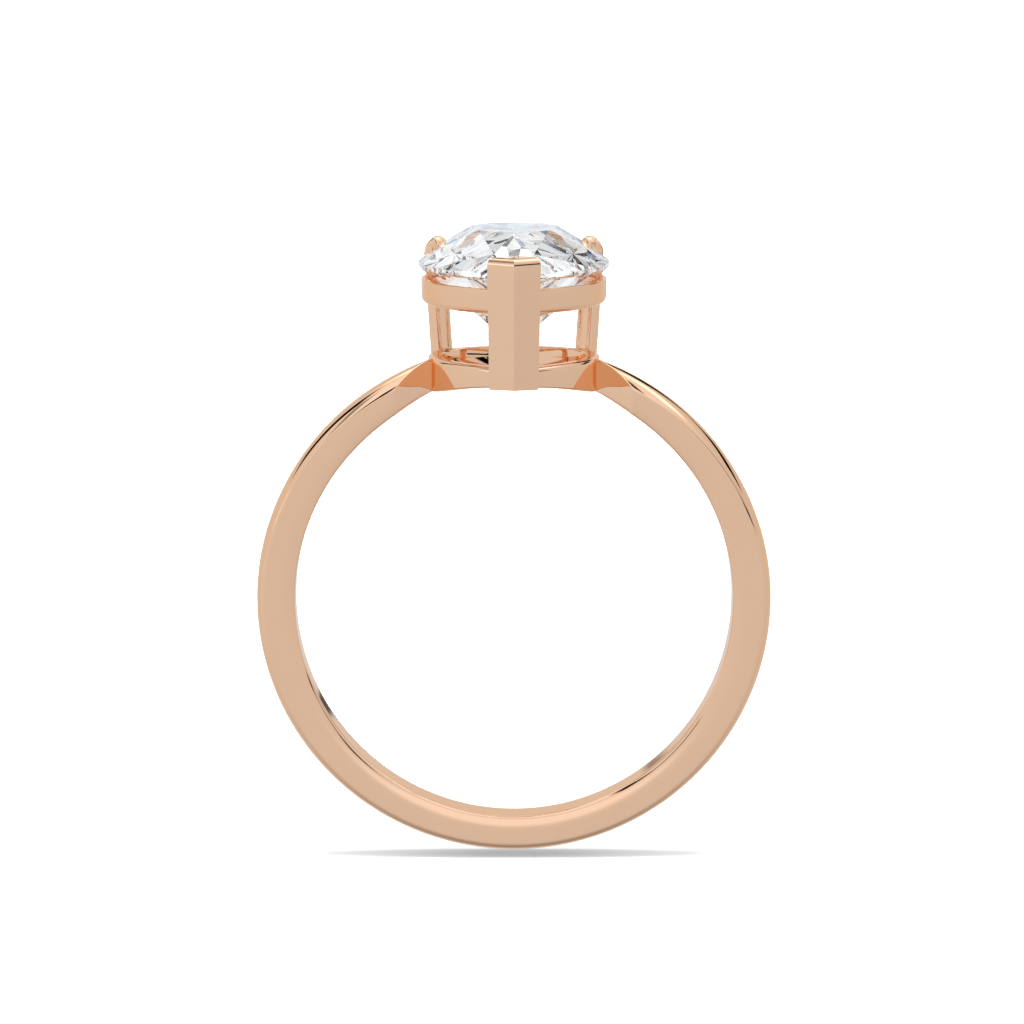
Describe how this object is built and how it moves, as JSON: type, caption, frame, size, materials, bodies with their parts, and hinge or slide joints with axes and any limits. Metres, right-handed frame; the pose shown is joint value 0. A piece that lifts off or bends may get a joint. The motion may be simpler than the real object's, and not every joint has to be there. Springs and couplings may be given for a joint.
{
  "type": "engagement ring",
  "caption": "Rose gold solitaire ring: plain band pinched at the shoulders under a pear-cut stone, held in an open basket by a V-prong at its point and claws at its round end.",
  "frame": {"origin": "centre of the finger hole, midway between the band's two flat sides", "axes": "+Y along the finger hole, away from the stone's point; +Z from the foot of the band up through the stone's flat table; +X completes a right-handed frame, across the band"},
  "size_m": [0.0194, 0.0116, 0.0235],
  "materials": {
    "rose_gold": "mirror-polished rose gold alloy",
    "diamond": "colourless, polished facets"
  },
  "bodies": {
    "root": {"shank": "rose_gold", "base_ring": "rose_gold", "gallery_rail": "rose_gold", "v_prong": "rose_gold", "claw_left": "rose_gold", "claw_right": "rose_gold", "diamond": "diamond"}
  },
  "joints": []
}
